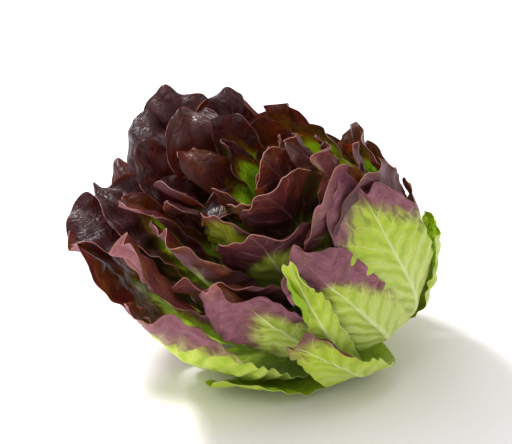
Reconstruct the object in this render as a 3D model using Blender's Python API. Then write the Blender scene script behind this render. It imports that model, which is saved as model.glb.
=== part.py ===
"""A head of red butterhead lettuce, leaning over on the leaves that it rests on.

The head grows in its own upright frame: a short stem on the +Z axis, and leaves that leave it in
golden-angle order, the oldest lowest and outermost. Each leaf lies on a bowl of its own, and every
bowl stands wholly inside the one before it, so that leaves nest and never cross. One smooth warp
bends all the bowls together, and the head is then leaned over and pressed onto the ground.
Units are metres, with +Z up and the ground at z = 0.
"""

import math
from dataclasses import dataclass

import bmesh
import bpy
import numpy as np
from mathutils import Vector

# The stem, with its cut face at the bottom.
STEM_BASE_RADIUS = 0.017
STEM_TIP_RADIUS = 0.0015
STEM_LENGTH = 0.052
STEM_BUTT = 0.007  # bare stem below the lowest leaf
STEM_SIDES = 20

# The bowls that leaves lie on: the first value is for the outermost, the last for the innermost.
TIP_RADIUS = (0.110, 0.006)
TIP_HEIGHT = (0.118, 0.168, 0.152)  # outermost, halfway in, innermost
BASE_SLOPE = (-14.0, 68.0)  # degrees above level where the leaf leaves the stem
TIP_SLOPE = (76.0, 94.0)  # degrees above level at the tip
BASE_HANDLE = (0.080, 0.018)
TIP_HANDLE = (0.050, 0.030)

# Leaves.
LEAF_COUNT = 52
BOWL_COUNT = 44  # bowls from the first to the innermost
FIRST_FOOT = -7.0  # the bowl, counted from the first, on which the oldest leaf leaves the stem
YOUNG_DROP = 0.8  # how much further out than its foot a young leaf's blade lies, in bowls
GOLDEN_ANGLE = 137.508
LOW_SIDE = 118.0  # degrees, the azimuth where the leaves reach least far
LOWER_BY = 0.22
LEAF_THICKNESS = 0.0008
LEAF_HALF_WIDTH = (0.060, 0.032, 0.011)
LEAF_FOOT_HALF_WIDTH = (0.015, 0.0030)
LEAF_CLEARANCE = 0.0006  # from the stem to the foot of a leaf
WIDEST_AT = 0.62  # share of a leaf's length, from its foot
WAVE = 2.8  # how far a leaf waves in and out near its tip, in steps from one bowl to the next
ROUNDNESS = 0.46  # of the blade's upper corners: 0 is square and 0.5 is round
LOBE = 0.05  # how far the outline goes in and out, as a share of the blade

# Cells in a leaf's mesh, across and along, from the outer leaves to the heart.
OUTER_CELLS = (8, 10)
MIDDLE_CELLS = (6, 8)
HEART_CELLS = (5, 7)

# The lean of the whole head, how it slumps, and how its weight presses it onto the ground.
LEAN_AXIS = (-0.31, -0.17, 0.93)
SLUMP = (-0.07, -0.34)  # how far each point slides in X and in Y, for each unit that it stands higher
OPENING = 0.026  # how far the outermost tips have fallen open towards -X, with the heart left in place
PRESS_DEPTH = 0.015
PRESS_SOFTNESS = 0.009
FLAT_DEPTH = 0.0011  # of the leaves' undersides that the ground makes quite flat
LEAST_THICKNESS = 0.00015  # of a leaf pressed between the ground and the head


@dataclass
class Leaf:
    """One leaf. Bowls are counted inwards from 0, and below 0 a leaf has dropped out of the first."""

    name: str
    order: float  # the bowl that its blade lies on
    foot: float  # the bowl that it leaves the stem on, one further in than the leaf before
    azimuth: float  # degrees, 0 towards -Y and 90 towards +X
    reach: float = 1.0  # how far up its bowl the tip comes
    breadth: float = 1.0
    curl: float = 0.0  # how far the tip bends inwards, or outwards if negative, in bowls
    slant: float = 0.0  # degrees that the tip leans round the head
    seed: int = 0


# The oldest leaves, set one by one: order, azimuth, reach, breadth, curl and slant. Leaves that lie
# over one another want about one bowl between them, and one that falls low carries the head.
OLDEST = (
    (-5.9, -24.0, 0.68, 0.46, 0.0, -8.0),
    (-4.6, 13.0, 0.84, 0.34, 1.6, -12.0),
    (-2.6, -38.0, 0.98, 0.68, 1.6, 8.0),
    (-1.1, -90.0, 1.02, 0.60, 0.0, -4.0),
    (0.5, -142.0, 0.98, 0.74, 0.0, 0.0),
    (-0.6, 11.0, 1.08, 0.18, 0.5, 24.0),
    (-1.0, 152.0, 0.90, 0.80, 0.0, 0.0),
    (0.7, 88.0, 0.80, 0.70, 0.0, 0.0),
    (1.4, 31.0, 1.05, 0.42, 1.2, -12.0),
    (2.7, 54.0, 1.10, 0.60, 0.0, -8.0),
    (3.6, -1.0, 1.00, 0.50, 1.0, -10.0),
    (4.2, -170.0, 1.00, 0.85, 0.0, 0.0),
    (5.8, 78.0, 0.94, 0.70, 0.3, 0.0),
    (5.8, -30.0, 1.14, 0.50, 1.4, -10.0),
    (6.6, 120.0, 0.98, 0.70, 0.0, 0.0),
    (7.4, -98.0, 1.02, 0.66, 0.0, 0.0),
)

FIRST_YOUNG = 62.0  # degrees, the azimuth of the leaf that follows them


def run(values, share):
    """A value across the head: the straight line or the parabola through the given ones."""
    if len(values) == 2:
        return values[0] + (values[1] - values[0]) * share
    first, middle, last = values
    return first + share * (4 * middle - 3 * first - last) + share**2 * 2 * (first + last - 2 * middle)


def grown_leaves():
    """Every leaf, from the outermost to the heart."""
    leaves = []
    for count in range(LEAF_COUNT):
        foot = FIRST_FOOT + count
        if count < len(OLDEST):
            order, azimuth, reach, breadth, curl, slant = OLDEST[count]
        else:
            order = foot - YOUNG_DROP
            azimuth = (FIRST_YOUNG + GOLDEN_ANGLE * (count - len(OLDEST))) % 360
            azimuth += 7 * math.sin(3.9 * count)
            reach = 0.99 + 0.06 * math.sin(2.4 * count)
            breadth = 1.0 + 0.20 * math.sin(1.7 * count)
            curl = 0.0
            slant = 9 * math.sin(3.1 * count)
        low_side = max(0, math.cos(math.radians(azimuth - LOW_SIDE))) ** 3
        reach -= LOWER_BY * low_side
        zone = "outer" if count < 16 else "middle" if count < 36 else "heart"
        name = f"{zone}_leaf_{count + 1:02d}"
        leaves.append(Leaf(name, order, foot, azimuth, reach, breadth, curl, slant, count))
    return leaves


def stem_radius(height):
    """The stem's radius: straight at the butt, then drawn in to the growing tip."""
    share = np.clip((height - STEM_BUTT) / (STEM_LENGTH - STEM_BUTT), 0, 1)
    return STEM_BASE_RADIUS + (STEM_TIP_RADIUS - STEM_BASE_RADIUS) * share


def bowl(depth, share):
    """Radius and height at a share of the way up the bowl at this depth, 0 outermost to 1 innermost."""
    depth = np.minimum(depth, 1.0)
    foot_h = STEM_BUTT + 0.003 + (STEM_LENGTH - STEM_BUTT - 0.008) * depth
    foot_r = stem_radius(foot_h) + LEAF_CLEARANCE + LEAF_THICKNESS
    tip_r = run(TIP_RADIUS, 1 - (1 - depth) ** 0.94)
    tip_h = run(TIP_HEIGHT, depth)
    start = np.radians(run(BASE_SLOPE, depth))
    end = np.radians(run(TIP_SLOPE, depth))
    lower = run(BASE_HANDLE, depth)
    upper = run(TIP_HANDLE, depth)
    rest = np.maximum(share - 1, 0)  # past the rim, the bowl goes on straight
    at = np.minimum(share, 1)
    weights = (1 - at) ** 3, 3 * at * (1 - at) ** 2, 3 * at**2 * (1 - at), at**3
    radius = (
        weights[0] * foot_r
        + weights[1] * (foot_r + lower * np.cos(start))
        + weights[2] * (tip_r - upper * np.cos(end))
        + weights[3] * tip_r
        + rest * 3 * upper * np.cos(end)
    )
    height = (
        weights[0] * foot_h
        + weights[1] * (foot_h + lower * np.sin(start))
        + weights[2] * (tip_h - upper * np.sin(end))
        + weights[3] * tip_h
        + rest * 3 * upper * np.sin(end)
    )
    return radius, height


def waves(leaf, across, up, edge):
    """How far each point of a leaf lies inside its own bowl, in steps from one bowl to the next."""
    chance = np.random.default_rng(100 + leaf.seed)
    phase = chance.uniform(0, 2 * math.pi, 8)
    pace = chance.uniform(0.85, 1.15, 8)
    around = np.arctan2(up + 0.45, across)
    frill = 0.5 * np.sin(5.5 * pace[0] * around + phase[0]) + 0.5 * np.sin(11 * pace[1] * around + phase[1])
    roll = np.sin(2.6 * pace[2] * across + phase[2]) * np.cos(2.4 * pace[3] * up + phase[3])
    cup = chance.uniform(-0.4, 1.2) * (1.6 * edge**2 - 0.6) - chance.uniform(0.2, 1.8) * edge**6
    calm = 1 - 0.76 * np.clip(leaf.order / BOWL_COUNT, 0, 1) ** 2
    return WAVE * calm * (0.70 * frill * edge**2.5 + 0.40 * roll + 0.45 * cup) - 0.5 * across


def blade(across, up, leaf):
    """The outline of a leaf: a square of -1 to 1 made a round blade on a tapering foot."""
    top = np.clip(up, 0, 1)
    round_across = across * np.sqrt(1 - ROUNDNESS * top**2)
    round_up = np.where(up > 0, up * np.sqrt(1 - ROUNDNESS * across**2), up)
    edge = np.clip(np.hypot(round_across, np.clip(round_up, 0, 1)), 0, 1)
    around = np.arctan2(round_up + 0.45, round_across)
    lobe = np.sin(4 * around + 1.3 * leaf.seed) + 0.6 * np.sin(7 * around + 2.9 * leaf.seed)
    swell = 1 + LOBE * lobe * edge**3 * np.clip(up + 0.5, 0, 1)
    return round_across * swell, np.where(up > 0, round_up * swell, up), edge


def warp(points):
    """Bends the whole head a little. Its slopes stay well under 1, so nested leaves stay nested."""
    x, y, z = points.T
    strength = np.clip(z / 0.12, 0, 1.2) ** 1.5
    dx = 0.0080 * np.sin(38 * y + 21 * z + 0.6) + 0.0035 * np.sin(74 * y - 50 * x + 2.0)
    dy = 0.0080 * np.sin(35 * x - 24 * z + 2.1) + 0.0035 * np.sin(69 * x + 55 * y + 0.3)
    dz = 0.0070 * np.sin(40 * x + 31 * y + 1.2)
    return points + strength[:, None] * np.stack([dx, dy, dz], axis=1)


def leaned(points):
    """Leans the upright head over, and lets it slump."""
    turn = Vector((0, 0, 1)).rotation_difference(Vector(LEAN_AXIS).normalized())
    slump = np.array([[1, 0, SLUMP[0]], [0, 1, SLUMP[1]], [0, 0, 1]])
    return points @ (slump @ np.array(turn.to_matrix())).T


def pressed(points, ground):
    """Presses the head onto the ground, softly, so that what was lower stays lower."""
    lowest = PRESS_SOFTNESS * np.logaddexp(0, -PRESS_DEPTH / PRESS_SOFTNESS)
    out = points.copy()
    height = PRESS_SOFTNESS * np.logaddexp(0, (points[:, 2] - ground) / PRESS_SOFTNESS)
    out[:, 2] = height - lowest - FLAT_DEPTH
    return out


def settled(upper, lower, ground):
    """Both faces of a leaf on the ground, which stops the lower one."""
    upper, lower = pressed(upper, ground), pressed(lower, ground)
    lower[:, 2] = np.maximum(lower[:, 2], 0)
    upper[:, 2] = np.maximum(upper[:, 2], lower[:, 2] + LEAST_THICKNESS)
    return upper, lower


def leaf_points(leaf, across, up):
    """Where points of a leaf's upper face are in the leaned head, for across and up from -1 to 1."""
    round_across, round_up, edge = blade(across, up, leaf)
    share = np.where(up > 0, WIDEST_AT + (1 - WIDEST_AT) * round_up, WIDEST_AT * (1 + up)) * leaf.reach
    free = np.clip(share, 0, 1) ** 1.6
    rise = np.clip(share / 0.4, 0, 1)
    order = leaf.foot + (leaf.order - leaf.foot) * rise**2 * (3 - 2 * rise)
    inside = waves(leaf, across, up, edge) * free + leaf.curl * np.clip(share, 0, 1.2) ** 4
    radius, height = bowl((order + inside) / BOWL_COUNT, share)
    depth = np.clip(leaf.order / BOWL_COUNT, 0, 1)
    half = run(LEAF_HALF_WIDTH, depth**0.8) * leaf.breadth
    foot = run(LEAF_FOOT_HALF_WIDTH, depth) * (0.5 + 0.5 * min(leaf.breadth, 1))
    taper = np.sin(np.clip(1 + up, 0, 1) * math.pi / 2) ** 1.25
    tapered = foot * across + (half * round_across - foot * across) * taper
    width = np.where(up > 0, half * round_across, tapered)
    level = bowl(depth, share)[0]
    angle = np.radians(leaf.azimuth + leaf.slant * (share - 0.5)) + width / np.hypot(level, 0.006)
    upright = np.stack([radius * np.sin(angle), -radius * np.cos(angle), height], axis=1)
    places = leaned(warp(upright))
    places[:, 0] -= OPENING * (1 - (order + inside) / BOWL_COUNT) * np.clip(share, 0, 1.2) ** 1.5
    return places


def material(name, colour, roughness):
    """A plain finish."""
    made = bpy.data.materials.new(name)
    made.use_nodes = True
    shader = made.node_tree.nodes["Principled BSDF"]
    shader.inputs["Base Color"].default_value = (*colour, 1)
    shader.inputs["Roughness"].default_value = roughness
    shader.inputs["Metallic"].default_value = 0.0
    return made


def add_object(name, bm, finish):
    """A smooth-shaded object made from a bmesh, which is freed."""
    mesh = bpy.data.meshes.new(name)
    bm.to_mesh(mesh)
    bm.free()
    mesh.materials.append(finish)
    mesh.shade_smooth()
    made = bpy.data.objects.new(name, mesh)
    bpy.context.scene.collection.objects.link(made)
    return made


def lowest_point(leaves):
    """The height of the lowest point of the leaned head, before it is pressed."""
    across, up = (a.ravel() for a in np.meshgrid(np.linspace(-1, 1, 17), np.linspace(-1, 1, 25)))
    return min(leaf_points(leaf, across, up)[:, 2].min() for leaf in leaves) - LEAF_THICKNESS


def leaf_faces(leaf, columns, rows):
    """The points of a leaf's upper and lower faces, row by row, each as an array of x, y and z."""
    across, up = np.meshgrid(np.linspace(-1, 1, columns + 1), np.linspace(-1, 1, rows + 1))
    upper = leaf_points(leaf, across.ravel(), up.ravel())
    net = upper.reshape(rows + 1, columns + 1, 3)
    outward = np.cross(np.gradient(net, axis=1), np.gradient(net, axis=0)).reshape(-1, 3)
    outward /= np.linalg.norm(outward, axis=1, keepdims=True)
    return upper, upper + LEAF_THICKNESS * outward


def add_leaf(leaf, ground, finish, cells):
    """A leaf as a closed sheet: two nets of points joined round the edge."""
    columns, rows = cells
    bm = bmesh.new()
    bmesh.ops.create_grid(bm, x_segments=columns, y_segments=rows, size=1)
    upper = sorted(bm.verts, key=lambda v: (round(v.co.y, 4), round(v.co.x, 4)))
    upper_faces = list(bm.faces)
    copies = bmesh.ops.duplicate(bm, geom=list(bm.verts) + list(bm.edges) + upper_faces)["vert_map"]
    lower = [copies[v] for v in upper]
    for vert in lower:
        vert.co.z = 0.1
    bmesh.ops.bridge_loops(bm, edges=[e for e in bm.edges if e.is_boundary])
    bmesh.ops.recalc_face_normals(bm, faces=bm.faces)
    for verts, places in zip((upper, lower), settled(*leaf_faces(leaf, columns, rows), ground)):
        for vert, place in zip(verts, places):
            vert.co = place
    return add_object(leaf.name, bm, finish)


def add_stem(ground, finish):
    """The stem, cut flat at the bottom and drawn in to the growing tip."""
    bm = bmesh.new()
    heights = np.linspace(0, STEM_LENGTH, 8)
    outline = [bm.verts.new((0, 0, 0))]
    outline += [bm.verts.new((float(stem_radius(h)), 0, float(h))) for h in heights]
    outline += [bm.verts.new((0, 0, STEM_LENGTH + 0.0006))]
    edges = [bm.edges.new(pair) for pair in zip(outline, outline[1:])]
    bmesh.ops.spin(bm, geom=outline + edges, cent=(0, 0, 0), axis=(0, 0, 1),
                   angle=2 * math.pi, steps=STEM_SIDES, use_merge=True)
    bmesh.ops.remove_doubles(bm, verts=bm.verts, dist=0.00005)
    places = pressed(leaned(warp(np.array([v.co for v in bm.verts]))), ground)
    for vert, place in zip(bm.verts, places):
        vert.co = place
    bmesh.ops.recalc_face_normals(bm, faces=bm.faces)
    return add_object("cut_stem", bm, finish)


def centre(objects):
    """Moves the head over the origin, and leaves its height as it is."""
    places = np.array([vert.co for made in objects for vert in made.data.vertices])
    middle = (places.min(axis=0) + places.max(axis=0)) / 2
    for made in objects:
        for vert in made.data.vertices:
            vert.co.x -= middle[0]
            vert.co.y -= middle[1]


def build():
    """Clears the scene and grows the head."""
    for old in list(bpy.data.objects):
        bpy.data.objects.remove(old)
    leaves = grown_leaves()
    ground = lowest_point(leaves) + PRESS_DEPTH
    green = material("pale_green", (0.45, 0.62, 0.18), 0.5)
    red = material("burgundy", (0.12, 0.02, 0.025), 0.45)
    objects = [add_stem(ground, green)]
    cells = {"outer": OUTER_CELLS, "middle": MIDDLE_CELLS, "heart": HEART_CELLS}
    for leaf in leaves:
        zone = leaf.name.split("_")[0]
        finish = green if zone == "outer" else red
        objects.append(add_leaf(leaf, ground, finish, cells[zone]))
    centre(objects)


if __name__ == "__main__":
    build()
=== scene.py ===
"""The looks of a head of red butterhead lettuce, leaf by leaf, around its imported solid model.

Leaves grow by the same rule as the solid ones: each lies on a bowl of its own, nested in the one
before it, and the head is then bent, leaned over and pressed onto the ground. To that rule this adds
what the solids leave out: frilled and rolled margins, blisters, pleats, ribs, veins and colour.
"""

import math
from dataclasses import dataclass, replace
from types import SimpleNamespace

import bmesh
import bpy
import numpy as np
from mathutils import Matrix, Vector


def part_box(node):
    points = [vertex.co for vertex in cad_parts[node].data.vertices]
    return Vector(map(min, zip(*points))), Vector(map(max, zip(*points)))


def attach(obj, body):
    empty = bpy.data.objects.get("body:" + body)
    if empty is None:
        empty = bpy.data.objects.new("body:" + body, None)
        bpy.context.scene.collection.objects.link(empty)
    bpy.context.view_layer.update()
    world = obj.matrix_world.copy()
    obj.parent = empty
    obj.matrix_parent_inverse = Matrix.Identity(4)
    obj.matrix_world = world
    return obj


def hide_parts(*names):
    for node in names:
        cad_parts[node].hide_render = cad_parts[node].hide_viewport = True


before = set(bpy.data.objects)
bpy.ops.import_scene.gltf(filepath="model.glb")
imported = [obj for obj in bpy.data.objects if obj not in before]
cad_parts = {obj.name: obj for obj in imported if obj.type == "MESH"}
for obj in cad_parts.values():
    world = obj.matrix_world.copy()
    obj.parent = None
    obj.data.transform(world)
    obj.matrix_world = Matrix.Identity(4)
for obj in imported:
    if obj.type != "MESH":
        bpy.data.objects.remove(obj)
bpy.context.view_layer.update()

# The stem, with its cut face at the bottom.
STEM_BASE_RADIUS = 0.017
STEM_TIP_RADIUS = 0.0015
STEM_LENGTH = 0.052
STEM_BUTT = 0.007
STEM_SIDES = 48
LOWEST_FOOT = 0.003  # where the first leaf leaves the stem, above the butt
HIGHEST_FOOT = 0.005  # where the last leaf leaves it, below the growing tip

# The bowls that leaves lie on: the first value is for the outermost, the last for the innermost.
TIP_RADIUS = (0.110, 0.006)
TIP_HEIGHT = (0.118, 0.168, 0.152)
BASE_SLOPE = (-14.0, 68.0)
TIP_SLOPE = (76.0, 94.0)
BASE_HANDLE = (0.080, 0.018)
TIP_HANDLE = (0.050, 0.030)

# Leaves. Angles are in degrees, and azimuths run from -Y towards +X.
LEAF_COUNT = 52
MIDDLE_FROM = 16  # the first leaf that is a middle one, counted from 0
HEART_FROM = 36  # and the first that is a heart one
BOWL_COUNT = 44  # bowls from the first to the innermost
FIRST_FOOT = -7.0  # the bowl on which the oldest leaf leaves the stem
YOUNG_DROP = 0.8  # how much further out than its foot a young leaf's blade lies, in bowls
GOLDEN_ANGLE = 137.508
LOW_SIDE = 118.0  # where the leaves reach least far
LOWER_BY = 0.22  # as a share of the way up the bowl
FIRST_YOUNG = 62.0  # azimuth of the first leaf that the spiral sets
LEAF_THICKNESS = 0.0006
SOLID_THICKNESS = 0.0008  # of the solid leaves, whose lowest point tells where the ground is
LEAF_HALF_WIDTH = (0.060, 0.032, 0.011)
LEAF_FOOT_HALF_WIDTH = (0.015, 0.0030)
LEAF_CLEARANCE = 0.0006  # between a leaf and the stem
WIDEST_AT = 0.62  # where a leaf is widest, as a share of its length
WAVE = 2.8  # how far a leaf waves in and out near its tip, in steps from one bowl to the next
ROUNDNESS = 0.46
LOBE = 0.05
HUB = 0.45  # how far below the widest place the lobes and ripples are centred, in half lengths

# The lean of the whole head, how it slumps, and how its weight presses it onto the ground.
LEAN_AXIS = (-0.31, -0.17, 0.93)
SLUMP = (-0.07, -0.34)  # how far it shears along X and Y for each metre of height
OPENING = 0.026  # how far the outermost tips have fallen open towards -X
PRESS_DEPTH = 0.015
PRESS_SOFTNESS = 0.009
FLAT_DEPTH = 0.0011
LEAST_THICKNESS = 0.00015

# The relief of the blades. Lengths are in metres.
CELLS = {"outer": (72, 84), "middle": (56, 68), "heart": (40, 52)}  # in a leaf's mesh, across and along
LIP = 0.010  # width of the last row of cells at the margin, as a share of the leaf
FAR_SIDE = 225.0  # the azimuth where the tips roll outwards most
FINE_RIPPLE = 0.25  # in steps from one bowl to the next
BLISTER_HEIGHT = 0.0011
PLEAT_HEIGHT = 0.0009
PLEAT_SPACING = 0.017
RIB_WIDTH = 0.0040
RIB_HEIGHT = 0.0026
UV_PER_METRE = 10
VEIN_SPACING = 0.17  # of side veins, in the leaf's UV map

# Each purpose draws its random numbers from a seed of its own, to which the leaf's number is added.
SEED = {"growth": 700, "waves": 100, "blisters": 40, "small blisters": 90, "pleats": 70,
        "patches": 300, "small patches": 350, "tone": 400}

# The picture: the floor, the light and the camera.
FLOOR_COLOUR = (0.92, 0.88, 0.91)
FLOOR_SIZE = 6.0
WORLD_STRENGTH = 0.66
LIGHT_AIM = (0, 0, 0.08)
CAMERA_AIM = (0.0023, 0.0028, 0.0998)
CAMERA_DISTANCE = 1.2
CAMERA_TILT = 24.0
CAMERA_LENS = 136


@dataclass
class Leaf:
    """One leaf. Bowls are counted inwards from 0, and below 0 a leaf has dropped out of the first."""

    name: str
    order: float  # the bowl that its blade lies on
    foot: float  # the bowl that it leaves the stem on
    azimuth: float
    reach: float  # how far up its bowl the blade goes
    breadth: float
    curl: float  # how far the tip leans into the head, in bowls
    slant: float  # degrees that the tip stands aside of the foot
    seed: int  # the leaf's number
    roll: float  # degrees that the tip rolls outwards
    roll_from: float  # where along the leaf the roll begins
    fold: float  # degrees that each side turns outwards by its margin
    frill: float  # how much the margin ripples
    blush: float  # how far up the leaf the red begins
    depth: float  # how dark the red is
    blister: float = 1.0  # how puckered the blade is
    rib: float = 1.0  # how thick the midrib is


# The oldest leaves, set one by one: order, azimuth, reach, breadth, curl and slant.
OLDEST = (
    (-5.9, -24.0, 0.68, 0.46, 0.0, -8.0),
    (-4.6, 13.0, 0.84, 0.34, 1.6, -12.0),
    (-2.6, -38.0, 0.98, 0.68, 1.6, 8.0),
    (-1.1, -90.0, 1.02, 0.60, 0.0, -4.0),
    (0.5, -142.0, 0.98, 0.74, 0.0, 0.0),
    (-0.6, 11.0, 1.08, 0.18, 0.5, 24.0),
    (-1.0, 152.0, 0.90, 0.80, 0.0, 0.0),
    (0.7, 88.0, 0.80, 0.70, 0.0, 0.0),
    (1.4, 31.0, 1.05, 0.42, 1.2, -12.0),
    (2.7, 54.0, 1.10, 0.60, 0.0, -8.0),
    (3.6, -1.0, 1.00, 0.50, 1.0, -10.0),
    (4.2, -170.0, 1.00, 0.85, 0.0, 0.0),
    (5.8, 78.0, 0.94, 0.70, 0.3, 0.0),
    (5.8, -30.0, 1.14, 0.50, 1.4, -10.0),
    (6.6, 120.0, 0.98, 0.70, 0.0, 0.0),
    (7.4, -98.0, 1.02, 0.66, 0.0, 0.0),
)

# How single leaves differ from the rest in their looks.
LOOKS = {
    "outer_leaf_01": dict(roll=0, blush=2.0, frill=1.2, rib=1.2, depth=0.3),
    "outer_leaf_02": dict(roll=0, blush=1.05, frill=1.0, rib=1.6, blister=1.3, depth=0.3),
    "outer_leaf_03": dict(roll=0, fold=-10, blush=0.90, frill=1.3, blister=1.6, depth=0.4),
    "outer_leaf_04": dict(roll=0, blush=0.42, frill=1.2, depth=0.5),
    "outer_leaf_06": dict(roll=0, blush=1.6, frill=0.5, fold=20, depth=0.3),
    "outer_leaf_08": dict(roll=0, blush=1.2, frill=1.3, depth=0.3),
    "outer_leaf_09": dict(roll=0, fold=0, blush=0.56, frill=1.2, blister=1.5, depth=0.45),
    "outer_leaf_10": dict(roll=0, fold=0, blush=0.82, rib=1.6, depth=0.3),
    "outer_leaf_11": dict(roll=-10, fold=0, blush=0.50, depth=0.3),
    "outer_leaf_13": dict(roll=0, fold=-10, blush=0.78, frill=1.0, depth=0.3),
    "outer_leaf_14": dict(roll=10, fold=10, blush=0.45, rib=1.2, depth=0.2),
    "middle_leaf_22": dict(depth=1.1),
    "middle_leaf_23": dict(blush=0.80),
    "middle_leaf_24": dict(depth=0.5),
    "middle_leaf_26": dict(roll=105, roll_from=0.45),
    "middle_leaf_27": dict(depth=1.5),
    "middle_leaf_28": dict(blush=0.95),
    "middle_leaf_29": dict(depth=0.4),
    "middle_leaf_30": dict(roll=60, depth=0.0),
    "middle_leaf_32": dict(blush=0.95),
    "middle_leaf_35": dict(depth=1.7),
    "middle_leaf_36": dict(blush=0.85),
    "heart_leaf_38": dict(depth=1.5),
    "heart_leaf_43": dict(depth=1.6),
    "heart_leaf_50": dict(blush=0.85),
    "heart_leaf_52": dict(blush=0.85),
}


def run(values, share):
    """A value across the head: the straight line or the parabola through the given ones."""
    if len(values) == 2:
        return values[0] + (values[1] - values[0]) * share
    first, middle, last = values
    return first + share * (4 * middle - 3 * first - last) + share**2 * 2 * (first + last - 2 * middle)


def smooth(low, high, value):
    """0 below low, 1 above high, and a smooth step between."""
    share = np.clip((value - low) / (high - low), 0, 1)
    return share * share * (3 - 2 * share)


def grown_leaves():
    """Every leaf, from the outermost to the heart."""
    leaves = []
    for count in range(LEAF_COUNT):
        foot = FIRST_FOOT + count
        if count < len(OLDEST):
            order, azimuth, reach, breadth, curl, slant = OLDEST[count]
        else:
            order = foot - YOUNG_DROP
            azimuth = (FIRST_YOUNG + GOLDEN_ANGLE * (count - len(OLDEST))) % 360
            azimuth += 7 * math.sin(3.9 * count)
            reach = 0.99 + 0.06 * math.sin(2.4 * count)
            breadth = 1.0 + 0.20 * math.sin(1.7 * count)
            curl = 0.0
            slant = 9 * math.sin(3.1 * count)
        low_side = max(0, math.cos(math.radians(azimuth - LOW_SIDE))) ** 3
        reach -= LOWER_BY * low_side
        zone = "outer" if count < MIDDLE_FROM else "middle" if count < HEART_FROM else "heart"
        name = f"{zone}_leaf_{count + 1:02d}"
        chance = np.random.default_rng(SEED["growth"] + count)
        far_side = max(0, math.cos(math.radians(azimuth - FAR_SIDE)))
        leaf = Leaf(
            name, order, foot, azimuth, reach, breadth, curl, slant, count,
            roll=chance.uniform(40, 105) * (0.2 + 0.8 * far_side),
            roll_from=chance.uniform(0.50, 0.72),
            fold=chance.uniform(-10, 14),
            frill=chance.uniform(0.7, 1.3),
            blush=chance.uniform(0.34, 0.74),
            depth=chance.uniform(0.9, 2.2),
        )
        leaves.append(replace(leaf, **LOOKS.get(name, {})))
    return leaves


def stem_radius(height):
    """The stem's radius: straight at the butt, then drawn in to the growing tip."""
    share = np.clip((height - STEM_BUTT) / (STEM_LENGTH - STEM_BUTT), 0, 1)
    return STEM_BASE_RADIUS + (STEM_TIP_RADIUS - STEM_BASE_RADIUS) * share


def bowl(depth, share):
    """Radius and height at a share of the way up the bowl at this depth, 0 outermost to 1 innermost."""
    depth = np.minimum(depth, 1.0)
    feet = STEM_LENGTH - STEM_BUTT - LOWEST_FOOT - HIGHEST_FOOT
    foot_h = STEM_BUTT + LOWEST_FOOT + feet * depth
    foot_r = stem_radius(foot_h) + LEAF_CLEARANCE + LEAF_THICKNESS
    tip_r = run(TIP_RADIUS, 1 - (1 - depth) ** 0.94)
    tip_h = run(TIP_HEIGHT, depth)
    start = np.radians(run(BASE_SLOPE, depth))
    end = np.radians(run(TIP_SLOPE, depth))
    lower = run(BASE_HANDLE, depth)
    upper = run(TIP_HANDLE, depth)
    rest = np.maximum(share - 1, 0)
    at = np.minimum(share, 1)
    weights = (1 - at) ** 3, 3 * at * (1 - at) ** 2, 3 * at**2 * (1 - at), at**3
    radius = (
        weights[0] * foot_r
        + weights[1] * (foot_r + lower * np.cos(start))
        + weights[2] * (tip_r - upper * np.cos(end))
        + weights[3] * tip_r
        + rest * 3 * upper * np.cos(end)
    )
    height = (
        weights[0] * foot_h
        + weights[1] * (foot_h + lower * np.sin(start))
        + weights[2] * (tip_h - upper * np.sin(end))
        + weights[3] * tip_h
        + rest * 3 * upper * np.sin(end)
    )
    return radius, height


def waves(leaf, across, up, edge):
    """How far each point of a leaf lies inside its own bowl, in steps from one bowl to the next."""
    chance = np.random.default_rng(SEED["waves"] + leaf.seed)
    phase = chance.uniform(0, 2 * math.pi, 8)
    pace = chance.uniform(0.85, 1.15, 8)
    around = np.arctan2(up + HUB, across)
    frill = 0.5 * np.sin(5.5 * pace[0] * around + phase[0])
    frill += 0.5 * np.sin(11 * pace[1] * around + phase[1])
    roll = np.sin(2.6 * pace[2] * across + phase[2]) * np.cos(2.4 * pace[3] * up + phase[3])
    cup = chance.uniform(-0.4, 1.2) * (1.6 * edge**2 - 0.6) - chance.uniform(0.2, 1.8) * edge**6
    calm = 1 - 0.76 * np.clip(leaf.order / BOWL_COUNT, 0, 1) ** 2
    return WAVE * calm * (0.70 * frill * edge**2.5 + 0.40 * roll + 0.45 * cup) - 0.5 * across


def blade(across, up, leaf):
    """The outline of a leaf: a square of -1 to 1 made a round blade on a tapering foot."""
    top = np.clip(up, 0, 1)
    round_across = across * np.sqrt(1 - ROUNDNESS * top**2)
    round_up = np.where(up > 0, up * np.sqrt(1 - ROUNDNESS * across**2), up)
    edge = np.clip(np.hypot(round_across, np.clip(round_up, 0, 1)), 0, 1)
    around = np.arctan2(round_up + HUB, round_across)
    lobe = np.sin(4 * around + 1.3 * leaf.seed) + 0.6 * np.sin(7 * around + 2.9 * leaf.seed)
    swell = 1 + LOBE * lobe * edge**3 * np.clip(up + 0.5, 0, 1)
    return round_across * swell, np.where(up > 0, round_up * swell, up), edge


def warp(points):
    """Bends the whole head a little. Its slopes stay well under 1, so nested leaves stay nested."""
    x, y, z = points.T
    strength = np.clip(z / 0.12, 0, 1.2) ** 1.5
    dx = 0.0080 * np.sin(38 * y + 21 * z + 0.6) + 0.0035 * np.sin(74 * y - 50 * x + 2.0)
    dy = 0.0080 * np.sin(35 * x - 24 * z + 2.1) + 0.0035 * np.sin(69 * x + 55 * y + 0.3)
    dz = 0.0070 * np.sin(40 * x + 31 * y + 1.2)
    return points + strength[:, None] * np.stack([dx, dy, dz], axis=1)


def leaned(points):
    """Leans the upright head over, and lets it slump."""
    turn = Vector((0, 0, 1)).rotation_difference(Vector(LEAN_AXIS).normalized())
    slump = np.array([[1, 0, SLUMP[0]], [0, 1, SLUMP[1]], [0, 0, 1]])
    return points @ (slump @ np.array(turn.to_matrix())).T


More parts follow.
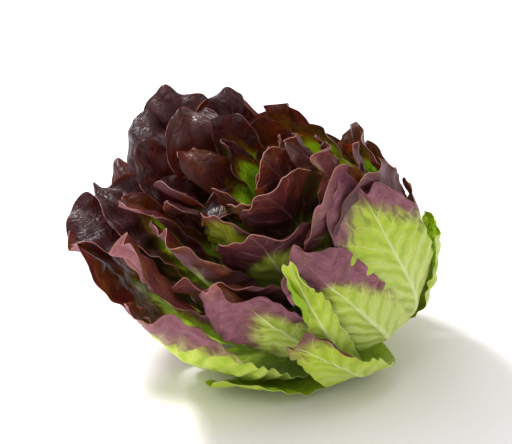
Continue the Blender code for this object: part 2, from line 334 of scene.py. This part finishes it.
def pressed(points, ground):
    """Presses the head onto the ground, softly, so that what was lower stays lower."""
    lowest = PRESS_SOFTNESS * np.logaddexp(0, -PRESS_DEPTH / PRESS_SOFTNESS)
    out = points.copy()
    height = PRESS_SOFTNESS * np.logaddexp(0, (points[:, 2] - ground) / PRESS_SOFTNESS)
    out[:, 2] = height - lowest - FLAT_DEPTH
    return out


def settled(upper, lower, ground):
    """Both faces of a leaf on the ground, which stops the lower one."""
    upper, lower = pressed(upper, ground), pressed(lower, ground)
    lower[:, 2] = np.maximum(lower[:, 2], 0)
    upper[:, 2] = np.maximum(upper[:, 2], lower[:, 2] + LEAST_THICKNESS)
    return upper, lower


def leaf_points(leaf, across, up, fine=1.0):
    """Where points of a leaf's upper face are in the leaned head, for across and up from -1 to 1."""
    round_across, round_up, edge = blade(across, up, leaf)
    share = np.where(up > 0, WIDEST_AT + (1 - WIDEST_AT) * round_up, WIDEST_AT * (1 + up)) * leaf.reach
    free = np.clip(share, 0, 1) ** 1.6
    rise = np.clip(share / 0.4, 0, 1)
    order = leaf.foot + (leaf.order - leaf.foot) * rise**2 * (3 - 2 * rise)
    inside = waves(leaf, across, up, edge) * free + leaf.curl * np.clip(share, 0, 1.2) ** 4
    around = np.arctan2(up + HUB, across)
    ripple = np.sin(15 * around + 5 * leaf.seed) + 0.6 * np.sin(24 * around + 3 * leaf.seed)
    inside = inside + fine * FINE_RIPPLE * leaf.frill * ripple * edge**5 * free
    radius, height = bowl((order + inside) / BOWL_COUNT, share)
    depth = np.clip(leaf.order / BOWL_COUNT, 0, 1)
    half = run(LEAF_HALF_WIDTH, depth**0.8) * leaf.breadth
    foot = run(LEAF_FOOT_HALF_WIDTH, depth) * (0.5 + 0.5 * min(leaf.breadth, 1))
    taper = np.sin(np.clip(1 + up, 0, 1) * math.pi / 2) ** 1.25
    width = half * round_across
    width = np.where(up > 0, width, foot * across + (width - foot * across) * taper)
    level = bowl(depth, share)[0]
    angle = np.radians(leaf.azimuth + leaf.slant * (share - 0.5)) + width / np.hypot(level, 0.006)
    upright = np.stack([radius * np.sin(angle), -radius * np.cos(angle), height], axis=1)
    places = leaned(warp(upright))
    places[:, 0] -= OPENING * (1 - (order + inside) / BOWL_COUNT) * np.clip(share, 0, 1.2) ** 1.5
    return places


def lowest_point(leaves):
    """The height of the lowest point of the leaned solids, before they are pressed."""
    across, up = (a.ravel() for a in np.meshgrid(np.linspace(-1, 1, 17), np.linspace(-1, 1, 25)))
    lowest = min(leaf_points(leaf, across, up, fine=0)[:, 2].min() for leaf in leaves)
    return lowest - SOLID_THICKNESS


def noise(x, y, seed):
    """Smooth noise from -1 to 1, with features about one unit across."""
    table = np.random.default_rng(seed).uniform(-1, 1, (64, 64))
    left, low = np.floor(x).astype(int), np.floor(y).astype(int)
    a, b = smooth(0, 1, x - left), smooth(0, 1, y - low)
    corners = [[table[(left + i) % 64, (low + j) % 64] for j in (0, 1)] for i in (0, 1)]
    near = corners[0][0] * (1 - b) + corners[0][1] * b
    far = corners[1][0] * (1 - b) + corners[1][1] * b
    return near * (1 - a) + far * a


def outward_of(net):
    """Unit normals of a net of points, away from the head."""
    normals = np.cross(np.gradient(net, axis=1), np.gradient(net, axis=0))
    return normals / np.maximum(np.linalg.norm(normals, axis=2, keepdims=True), 1e-12)


def turned(net, angle):
    """Turns a net outwards along its rows, from its first column, by an angle at each point."""
    steps = np.diff(net, axis=1)
    length = np.linalg.norm(steps, axis=2, keepdims=True)
    angle = angle[:, 1:, None]
    steps = steps * np.cos(angle) + outward_of(net)[:, 1:] * length * np.sin(angle)
    return np.concatenate([net[:, :1], net[:, :1] + np.cumsum(steps, axis=1)], axis=1)


def rolled(net, rows, angle):
    """Rolls a net outwards along its midrib. Each point goes with the midrib at its own height.

    rows holds that height for each point, counted in rows, and angle is the turn of each row.
    """
    spine = net[:, net.shape[1] // 2]
    steps = np.diff(spine, axis=0)
    length = np.linalg.norm(steps, axis=1, keepdims=True)
    along = steps / length
    normal = outward_of(net)[1:, net.shape[1] // 2]
    normal = normal - (normal * along).sum(axis=1, keepdims=True) * along
    normal /= np.linalg.norm(normal, axis=1, keepdims=True)
    side = np.cross(along, normal)
    cos, sin = np.cos(angle[1:, None]), np.sin(angle[1:, None])
    new_along, new_normal = along * cos + normal * sin, normal * cos - along * sin
    new_spine = np.concatenate([spine[:1], spine[0] + np.cumsum(new_along * length, axis=0)])
    old = np.stack([along, normal, side], axis=1)[[0, *range(len(along))]]
    new = np.stack([new_along, new_normal, side], axis=1)[[0, *range(len(along))]]
    low = np.clip(np.floor(rows).astype(int), 0, len(spine) - 2)
    out = 0
    for row, weight in ((low, 1 - (rows - low)), (low + 1, rows - low)):
        own = np.einsum("...ij,...j->...i", old[row], net - spine[row])
        carried = new_spine[row] + np.einsum("...ij,...i->...j", new[row], own)
        out = out + weight[..., None] * carried
    return out


def leaf_net(leaf, columns, rows):
    """The leaf's upper face as a net of points, before the ground presses it.

    After it come, for each point, the share of the way from foot to tip, how near it is to the
    margin, from 0 to 1, and how many metres it is from the midrib and from the foot.
    """
    across = np.linspace(-1, 1, columns + 1)
    across[[1, -2]] = -1 + LIP, 1 - LIP
    up = np.linspace(-1, 1, rows + 1)
    up[-2] = 1 - LIP
    across, up = np.meshgrid(across, up)
    share = (up + 1) / 2
    _, round_up, edge = blade(across, up, leaf)
    net = leaf_points(leaf, across.ravel(), up.ravel()).reshape(*up.shape, 3)
    # The sides turn out or in, away from the midrib.
    middle = columns // 2
    side = math.radians(leaf.fold) * smooth(0.35, 1.0, np.abs(across)) * smooth(-0.3, 0.5, up)
    right = turned(net[:, middle:], side[:, middle:])
    left = turned(net[:, middle::-1], -side[:, middle::-1])[:, :0:-1]
    net = np.concatenate([left, right], axis=1)
    # The tip rolls, one side of it more than the other.
    height = np.interp(round_up, up[:, 0], np.arange(rows + 1))
    tip = math.radians(leaf.roll) * smooth(leaf.roll_from, 1.05, share[:, 0])
    sway = (0.5 + 0.5 * np.sin(2.5 * across + 1.7 * leaf.seed))[..., None]
    net = rolled(net, height, 0.7 * tip) * (1 - sway) + rolled(net, height, 1.3 * tip) * sway
    # Places on the leaf in metres.
    steps = np.linalg.norm(np.diff(net, axis=1), axis=2)
    x = np.concatenate([np.zeros((rows + 1, 1)), np.cumsum(steps, axis=1)], axis=1)
    x -= x[:, middle:middle + 1]
    lengths = np.linalg.norm(np.diff(net[:, middle], axis=0), axis=1)
    y = np.concatenate([[0], np.cumsum(lengths)])[:, None] + 0 * x
    # Blisters between the veins, strongest in the middle of the blade.
    puff = noise(x / 0.011, y / 0.013, SEED["blisters"] + leaf.seed)
    puff += 0.5 * noise(x / 0.006, y / 0.007, SEED["small blisters"] + leaf.seed)
    puff *= BLISTER_HEIGHT * smooth(0.30, 0.60, share) * (1 - 0.5 * edge**4)
    # Pleats between the side veins, which climb from the midrib towards the margin.
    wander = 0.004 * noise(x / 0.02, y / 0.02, SEED["pleats"] + leaf.seed)
    climb = (y - 0.8 * np.abs(x) + wander) / PLEAT_SPACING
    pleats = np.sin(2 * math.pi * climb) * smooth(0.002, 0.014, np.abs(x)) * smooth(0.15, 0.45, share)
    puff = leaf.blister * (puff + PLEAT_HEIGHT * pleats)
    net = net + outward_of(net) * puff[..., None]
    return net, share, edge, x, y


def rib_bulge(leaf, x, share):
    """How far the midrib stands out of the underside."""
    wide = RIB_WIDTH * leaf.rib * (1 - share) ** 1.2 + 0.0006
    tall = RIB_HEIGHT * leaf.rib * (1 - share) ** 1.5
    return tall * np.exp(-((x / wide) ** 2)) * smooth(0, 0.15, share)


class Wire:
    """A shader socket that takes part in arithmetic."""

    def __init__(self, tree, socket=None):
        self.tree = tree
        self.socket = socket

    def node(self, kind, settings=None, output=0, **inputs):
        """A node of this type, with its settings made first and then its inputs set or linked.

        An input goes by its name, with _ for each space, or by _ and its number.
        """
        made = self.tree.nodes.new(kind)
        for key, value in (settings or {}).items():
            setattr(made, key, value)
        for key, value in inputs.items():
            key = int(key[1:]) if key[0] == "_" else key.replace("_", " ")
            if isinstance(value, Wire):
                self.tree.links.new(value.socket, made.inputs[key])
            else:
                made.inputs[key].default_value = value
        return Wire(self.tree, made.outputs[output])

    def math(self, operation, *values):
        inputs = {f"_{i}": value for i, value in enumerate(values)}
        return self.node("ShaderNodeMath", {"operation": operation}, **inputs)

    def __add__(self, other):
        return self.math("ADD", self, other)

    __radd__ = __add__

    def __mul__(self, other):
        return self.math("MULTIPLY", self, other)

    __rmul__ = __mul__

    def __sub__(self, other):
        return self.math("SUBTRACT", self, other)

    def __rsub__(self, other):
        return self.math("SUBTRACT", other, self)

    def __truediv__(self, other):
        return self.math("DIVIDE", self, other)

    def __pow__(self, other):
        return self.math("POWER", self, other)

    def __abs__(self):
        return self.math("ABSOLUTE", self)

    def fraction(self):
        return self.math("FRACT", self)

    def or_more(self, other):
        """The larger of the two."""
        return self.math("MAXIMUM", self, other)

    def step(self, low, high):
        """0 below low, 1 above high, smooth between; falling if low is over high."""
        ends = dict(From_Min=low, From_Max=high)
        if low > high:
            ends = dict(From_Min=high, From_Max=low, To_Min=1.0, To_Max=0.0)
        return self.node("ShaderNodeMapRange", {"interpolation_type": "SMOOTHSTEP"}, Value=self, **ends)

    def mix(self, first, second):
        """The first colour where this is 0 and the second where it is 1."""
        first, second = ((*c, 1) if isinstance(c, tuple) else c for c in (first, second))
        return self.node("ShaderNodeMix", {"data_type": "RGBA"}, output=2, _0=self, _6=first, _7=second)

    def noise(self, scale, detail, output=0, **inputs):
        """Noise at the places that this wire gives."""
        inputs.update(Vector=self, Scale=scale, Detail=detail)
        return self.node("ShaderNodeTexNoise", output=output, **inputs)

    def cells(self, scale):
        """The distance to the nearest wall of cells, at the places that this wire gives."""
        settings = {"feature": "DISTANCE_TO_EDGE"}
        return self.node("ShaderNodeTexVoronoi", settings, Vector=self, Scale=scale)

    def feed(self, shader, name):
        """Links this wire to one of the shader's sockets."""
        self.tree.links.new(self.socket, shader.inputs[name])


def new_finish(name):
    """A material, its Principled shader and a wire to start from."""
    made = bpy.data.materials.new(name)
    made.use_nodes = True
    tree = made.node_tree
    return made, tree.nodes["Principled BSDF"], Wire(tree)


def set_inputs(shader, **values):
    """Sets plain values of the shader's sockets, which go by name with _ for each space."""
    for name, value in values.items():
        shader.inputs[name.replace("_", " ")].default_value = value


def attribute(start, name):
    return start.node("ShaderNodeAttribute", {"attribute_name": name}, output=2)


def leaf_pattern(start):
    """What a leaf's colours and relief are mixed from, each as a wire."""
    uv = start.node("ShaderNodeUVMap", {"uv_map": "UVMap"})
    share, edge = attribute(start, "share"), attribute(start, "edge")
    wander = uv.noise(7.0, 2.0, output=1)
    wander = start.node("ShaderNodeVectorMath", {"operation": "SUBTRACT"}, _0=wander, _1=(0.5, 0.5, 0.5))
    wander = start.node("ShaderNodeVectorMath", {"operation": "SCALE"}, _0=wander, Scale=0.10)
    bent = start.node("ShaderNodeVectorMath", {"operation": "ADD"}, _0=uv, _1=wander)
    x, y = (start.node("ShaderNodeSeparateXYZ", output=i, Vector=bent) for i in (0, 1))
    from_rib = abs(start.node("ShaderNodeSeparateXYZ", Vector=uv))
    rib = (from_rib / (0.034 * (1 - share) ** 1.4 + 0.004)).step(1.0, 0.35)
    # Side veins leave the midrib by turns, left and right, and climb towards the margin.
    climb = y - 1.15 * abs(x) ** 0.85 + 0.09 * x.math("SIGN", x)
    off = abs((climb / VEIN_SPACING).fraction() - 0.5)
    lateral = (off / (0.085 - 0.05 * edge)).step(1.0, 0.2)
    cells = bent.cells(14.0)
    net = cells.step(0.075, 0.01)
    drawn_out = uv.node("ShaderNodeMapping", Vector=uv, Scale=(2.4, 0.8, 1.0))
    return SimpleNamespace(
        share=share,
        blush=attribute(start, "blush"),
        tone=attribute(start, "tone"),
        rib=rib,
        lateral=lateral,
        between=off.step(0.15, 0.42),
        net=net,
        fine=bent.cells(38.0).step(0.09, 0.01),
        veins=rib.or_more((0.8 * lateral).or_more(0.3 * net)),
        puff=cells.step(0.0, 0.35),
        mottle=uv.noise(16.0, 4.0, Roughness=0.6),
        broad=uv.noise(5.0, 2.0),
        streak=drawn_out.noise(9.0, 3.0),
    )


def upper_colour(leaf):
    """Green at the foot, and through brown into burgundy towards the margin."""
    deep_green, pale_green = (0.13, 0.25, 0.004), (0.50, 0.64, 0.14)
    brown, near_black, red_vein = (0.12, 0.060, 0.004), (0.022, 0.004, 0.006), (0.11, 0.022, 0.02)
    green = leaf.share.step(0.15, 0.8).mix((0.42, 0.58, 0.05), (0.27, 0.46, 0.006))
    green = (0.6 * leaf.mottle.step(0.40, 0.75)).mix(green, deep_green)
    green = (0.4 * leaf.veins).mix(green, pale_green)
    red = leaf.broad.step(0.35, 0.65).mix((0.060, 0.007, 0.012), (0.095, 0.024, 0.008))
    red = leaf.tone.step(0.3, 0.9).mix(red, near_black)
    red = (0.35 * leaf.veins).mix(red, red_vein)
    colour = (leaf.blush + 0.3 * (leaf.streak - 0.5)).step(0.15, 0.60).mix(green, brown)
    return (leaf.blush + 0.4 * (leaf.mottle - 0.5)).step(0.40, 0.90).mix(colour, red)


def under_colour(leaf):
    """Pale green with paler veins, and mauve towards the margin."""
    hollow_green, leaf_green, pale_rib = (0.31, 0.48, 0.014), (0.33, 0.52, 0.03), (0.76, 0.82, 0.42)
    tan, burgundy = (0.16, 0.075, 0.035), (0.070, 0.015, 0.020)
    dark_vein, pink_vein, blot = (0.13, 0.035, 0.05), (0.36, 0.17, 0.15), (0.095, 0.030, 0.018)
    green = leaf.share.step(0.2, 0.8).mix((0.66, 0.76, 0.22), (0.50, 0.64, 0.040))
    green = (0.55 * leaf.between).mix(green, hollow_green)
    green = (0.3 * leaf.mottle.step(0.45, 0.8)).mix(green, leaf_green)
    green = (0.6 * leaf.rib.or_more(0.6 * leaf.lateral)).mix(green, pale_rib)
    mauve = leaf.mottle.step(0.35, 0.70).mix((0.34, 0.12, 0.17), (0.22, 0.070, 0.095))
    mauve = (0.45 * leaf.broad.step(0.45, 0.65)).mix(mauve, tan)
    mauve = leaf.tone.step(0.15, 0.75).mix(mauve, burgundy)
    mauve = (0.40 * leaf.fine.or_more(leaf.net)).mix(mauve, dark_vein)
    mauve = (0.4 * leaf.lateral.or_more(leaf.rib)).mix(mauve, pink_vein)
    colour = (leaf.blush - 0.14 * leaf.veins + 0.25 * (leaf.streak - 0.5)).step(0.05, 0.85)
    colour = colour.mix(green, mauve)
    # Dark blotches between the veins, where the green goes over into the mauve.
    blotch = leaf.streak.step(0.50, 0.60) * leaf.blush.step(0.02, 0.25) * leaf.blush.step(0.95, 0.6)
    return (0.45 * (blotch * (1 - leaf.veins))).mix(colour, blot)


def rim_colour_with_painted_light(leaf):
    """A pale edge on the green and a pinkish one on the red: the leaf's own colour, painted paler for
    the light that the thin edge catches and lets through.
    """
    # The paleness of both colours is painted rim light.
    return leaf.blush.step(0.3, 0.7).mix((0.60, 0.70, 0.22), (0.30, 0.12, 0.12))


@dataclass
class Face:
    """The finish of one side of a leaf."""

    name: str
    colour: object  # the function that mixes it
    rough: tuple  # roughness, and how much it varies
    relief: tuple  # how far blisters, veins and the finest veins stand out, or in
    glow: float  # how much light goes through
    gloss: float


# In the order of a leaf's material slots.
FACES = (
    Face("leaf_upper_face", upper_colour, (0.22, 0.20), (0.9, -0.5, -0.25), 0.20, 0.28),
    Face("leaf_underside", under_colour, (0.44, 0.12), (0.3, 1.0, 0.2), 0.28, 0.35),
    # The rim's colour holds painted rim light.
    Face("leaf_rim", rim_colour_with_painted_light, (0.44, 0.12), (), 0.28, 0.35),
)
UNDERSIDE, RIM = 1, 2


def make_finishes():
    """The finishes of the leaves' two faces and of their rims."""
    finishes = []
    for face in FACES:
        made, shader, start = new_finish(face.name)
        pattern = leaf_pattern(start)
        face.colour(pattern).feed(shader, "Base Color")
        rough, varies = face.rough
        (rough + varies * pattern.mottle).feed(shader, "Roughness")
        if face.relief:
            puff, veins, fine = face.relief
            relief = puff * pattern.puff + veins * pattern.veins + fine * pattern.fine
            bump = start.node("ShaderNodeBump", Height=relief, Strength=0.45, Distance=0.0008)
            bump.feed(shader, "Normal")
        set_inputs(shader, Subsurface_Weight=face.glow, Subsurface_Radius=(0.0030, 0.0022, 0.0006),
                   Subsurface_Scale=1.0, IOR=1.45, Specular_IOR_Level=face.gloss)
        finishes.append(made)
    return finishes


def new_mesh(bm, name):
    """The mesh of a finished bmesh, shaded smooth."""
    mesh = bpy.data.meshes.new(name)
    bm.to_mesh(mesh)
    bm.free()
    mesh.shade_smooth()
    return mesh


def add_field(mesh, name, values):
    """Gives each vertex a value that the finishes can read."""
    layer = mesh.attributes.new(name, "FLOAT", "POINT")
    layer.data.foreach_set("value", values.astype(np.float32))


def new_object(name, data):
    """A new object in the scene."""
    made = bpy.data.objects.new(name, data)
    bpy.context.scene.collection.objects.link(made)
    return made


def make_leaf(leaf, ground, shift, finishes):
    """One finished leaf: two nets joined round the rim, with its colours as attributes."""
    columns, rows = CELLS[leaf.name.split("_")[0]]
    net, share, edge, x, y = leaf_net(leaf, columns, rows)
    thick = LEAF_THICKNESS * (1 - 0.35 * edge**4) + rib_bulge(leaf, x, share)
    lower = net + outward_of(net) * thick[..., None]
    places = np.concatenate(settled(net.reshape(-1, 3), lower.reshape(-1, 3), ground)) + shift

    # A flat grid for each face, bridged while they are flat, and only then shaped.
    bm = bmesh.new()
    bmesh.ops.create_grid(bm, x_segments=columns, y_segments=rows, size=1)
    top = sorted(bm.verts, key=lambda v: (round(v.co.y, 4), round(v.co.x, 4)))
    copied = bmesh.ops.duplicate(bm, geom=[*bm.verts, *bm.edges, *bm.faces])
    bottom = [copied["vert_map"][v] for v in top]
    for item in copied["geom"]:
        if isinstance(item, bmesh.types.BMFace):
            item.material_index = UNDERSIDE
    for vert in bottom:
        vert.co.z = 0.1
    rim = bmesh.ops.bridge_loops(bm, edges=[e for e in bm.edges if e.is_boundary])["faces"]
    for face in rim:
        face.material_index = RIM
    bmesh.ops.recalc_face_normals(bm, faces=bm.faces)
    for number, vert in enumerate(top + bottom):
        vert.co = places[number]
        vert.index = number
    bm.verts.sort()
    mesh = new_mesh(bm, leaf.name)

    patches = noise(x / 0.030, y / 0.030, SEED["patches"] + leaf.seed)
    patches += 0.5 * noise(x / 0.012, y / 0.012, SEED["small patches"] + leaf.seed)
    blush = smooth(-0.24, 0.20, share - leaf.blush + 0.12 * patches + 0.32 * (edge - 0.75))
    shade = 0.25 * noise(x / 0.05, y / 0.05, SEED["tone"] + leaf.seed)
    tone = np.clip(0.5 * leaf.depth + shade, 0, 1)
    for name, values in {"share": share, "edge": edge, "blush": blush, "tone": tone}.items():
        add_field(mesh, name, np.tile(values.ravel(), 2))
    corner = np.empty(len(mesh.loops), dtype=np.int32)
    mesh.loops.foreach_get("vertex_index", corner)
    chart = np.tile(np.stack([x, y], axis=2).reshape(-1, 2) * UV_PER_METRE, (2, 1))
    layer = mesh.uv_layers.new(name="UVMap")
    layer.data.foreach_set("uv", chart[corner].astype(np.float32).ravel())
    for finish in finishes:
        mesh.materials.append(finish)
    made = new_object(leaf.name + "_blade", mesh)
    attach(made, "root")
    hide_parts(leaf.name)


def stem_outline(bm):
    """Spins the stem's outline into a body."""
    heights = np.linspace(0.0010, STEM_LENGTH, 26)
    outline = [(0.0, 0.0), (STEM_BASE_RADIUS - 0.001, 0.0)]
    outline += [(float(stem_radius(h)), float(h)) for h in heights] + [(0.0, STEM_LENGTH + 0.0006)]
    verts = [bm.verts.new((r, 0, h)) for r, h in outline]
    edges = [bm.edges.new(pair) for pair in zip(verts, verts[1:])]
    bmesh.ops.spin(bm, geom=verts + edges, cent=(0, 0, 0), axis=(0, 0, 1),
                   angle=2 * math.pi, steps=STEM_SIDES, use_merge=True)
    bmesh.ops.remove_doubles(bm, verts=bm.verts, dist=0.00005)
    bmesh.ops.recalc_face_normals(bm, faces=bm.faces)


def stem_finish():
    """Pale flesh, with the cut face browned towards its rim."""
    made, shader, start = new_finish("cut_stem_flesh")
    height, radius = attribute(start, "height"), attribute(start, "radius")
    mottle = start.node("ShaderNodeTexCoord", output=3).noise(260.0, 4.0)
    flesh = mottle.step(0.35, 0.7).mix((0.55, 0.60, 0.34), (0.66, 0.68, 0.46))
    browned = (radius + 0.003 * (mottle - 0.5)).step(0.009, 0.015)
    cut = browned.mix((0.62, 0.55, 0.36), (0.34, 0.17, 0.07))
    height.step(0.0015, 0.0004).mix(flesh, cut).feed(shader, "Base Color")
    (0.45 + 0.2 * mottle).feed(shader, "Roughness")
    bump = start.node("ShaderNodeBump", Height=mottle, Strength=0.4, Distance=0.0006)
    bump.feed(shader, "Normal")
    set_inputs(shader, Subsurface_Weight=0.25, Subsurface_Radius=(0.004, 0.003, 0.001),
               Subsurface_Scale=1.0)
    return made


def make_stem(ground):
    """Makes the stem, and gives the shift that brings the grown head to where the solids stand."""
    bm = bmesh.new()
    stem_outline(bm)
    upright = np.array([v.co for v in bm.verts])
    places = pressed(leaned(warp(upright)), ground)
    low, high = (np.array(corner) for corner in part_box("cut_stem"))
    shift = (low + high) / 2 - (places.min(axis=0) + places.max(axis=0)) / 2
    shift[2] = 0
    for vert, place in zip(bm.verts, places):
        vert.co = place + shift
    mesh = new_mesh(bm, "cut_stem")
    add_field(mesh, "height", upright[:, 2])
    add_field(mesh, "radius", np.hypot(upright[:, 0], upright[:, 1]))
    mesh.materials.append(stem_finish())
    stem = new_object("stem_body", mesh)
    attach(stem, "root")
    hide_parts("cut_stem")
    return shift


def aimed(name, data, place, aim):
    """A new lamp or camera that looks at a point."""
    made = new_object(name, data)
    made.location = place
    made.rotation_euler = (Vector(aim) - Vector(place)).to_track_quat("-Z", "Y").to_euler()
    return made


def softbox(name, place, size, power):
    """A rectangular lamp that shines on the head."""
    lamp = bpy.data.lights.new(name, "AREA")
    lamp.shape = "RECTANGLE"
    lamp.size, lamp.size_y = size
    lamp.energy = power
    aimed(name, lamp, place, LIGHT_AIM)


def make_studio():
    """A pale floor, soft light and the camera."""
    bm = bmesh.new()
    bmesh.ops.create_grid(bm, x_segments=2, y_segments=2, size=FLOOR_SIZE)
    mesh = new_mesh(bm, "floor")
    made, shader, _ = new_finish("pale_floor")
    set_inputs(shader, Base_Color=(*FLOOR_COLOUR, 1), Roughness=0.9, Specular_IOR_Level=0.1)
    mesh.materials.append(made)
    floor = new_object("floor", mesh)

    world = bpy.data.worlds.new("studio")
    world.use_nodes = True
    set_inputs(world.node_tree.nodes["Background"], Color=(1, 1, 1, 1), Strength=WORLD_STRENGTH)
    bpy.context.scene.world = world
    softbox("back_softbox", (-0.70, 0.60, 1.15), (0.34, 0.30), 24)
    softbox("overhead_softbox", (-0.5, -0.5, 1.7), (1.6, 1.6), 15)

    camera = bpy.data.cameras.new("camera")
    camera.lens = CAMERA_LENS
    camera.clip_start = 0.01
    tilt = math.radians(CAMERA_TILT)
    away = Vector((0, -CAMERA_DISTANCE * math.cos(tilt), CAMERA_DISTANCE * math.sin(tilt)))
    place = Vector(CAMERA_AIM) + away
    bpy.context.scene.camera = aimed("camera", camera, place, CAMERA_AIM)
    bpy.context.scene.view_settings.view_transform = "Standard"


leaves = grown_leaves()
ground = lowest_point(leaves) + PRESS_DEPTH
offset = make_stem(ground)
finishes = make_finishes()
for leaf in leaves:
    make_leaf(leaf, ground, offset, finishes)
make_studio()
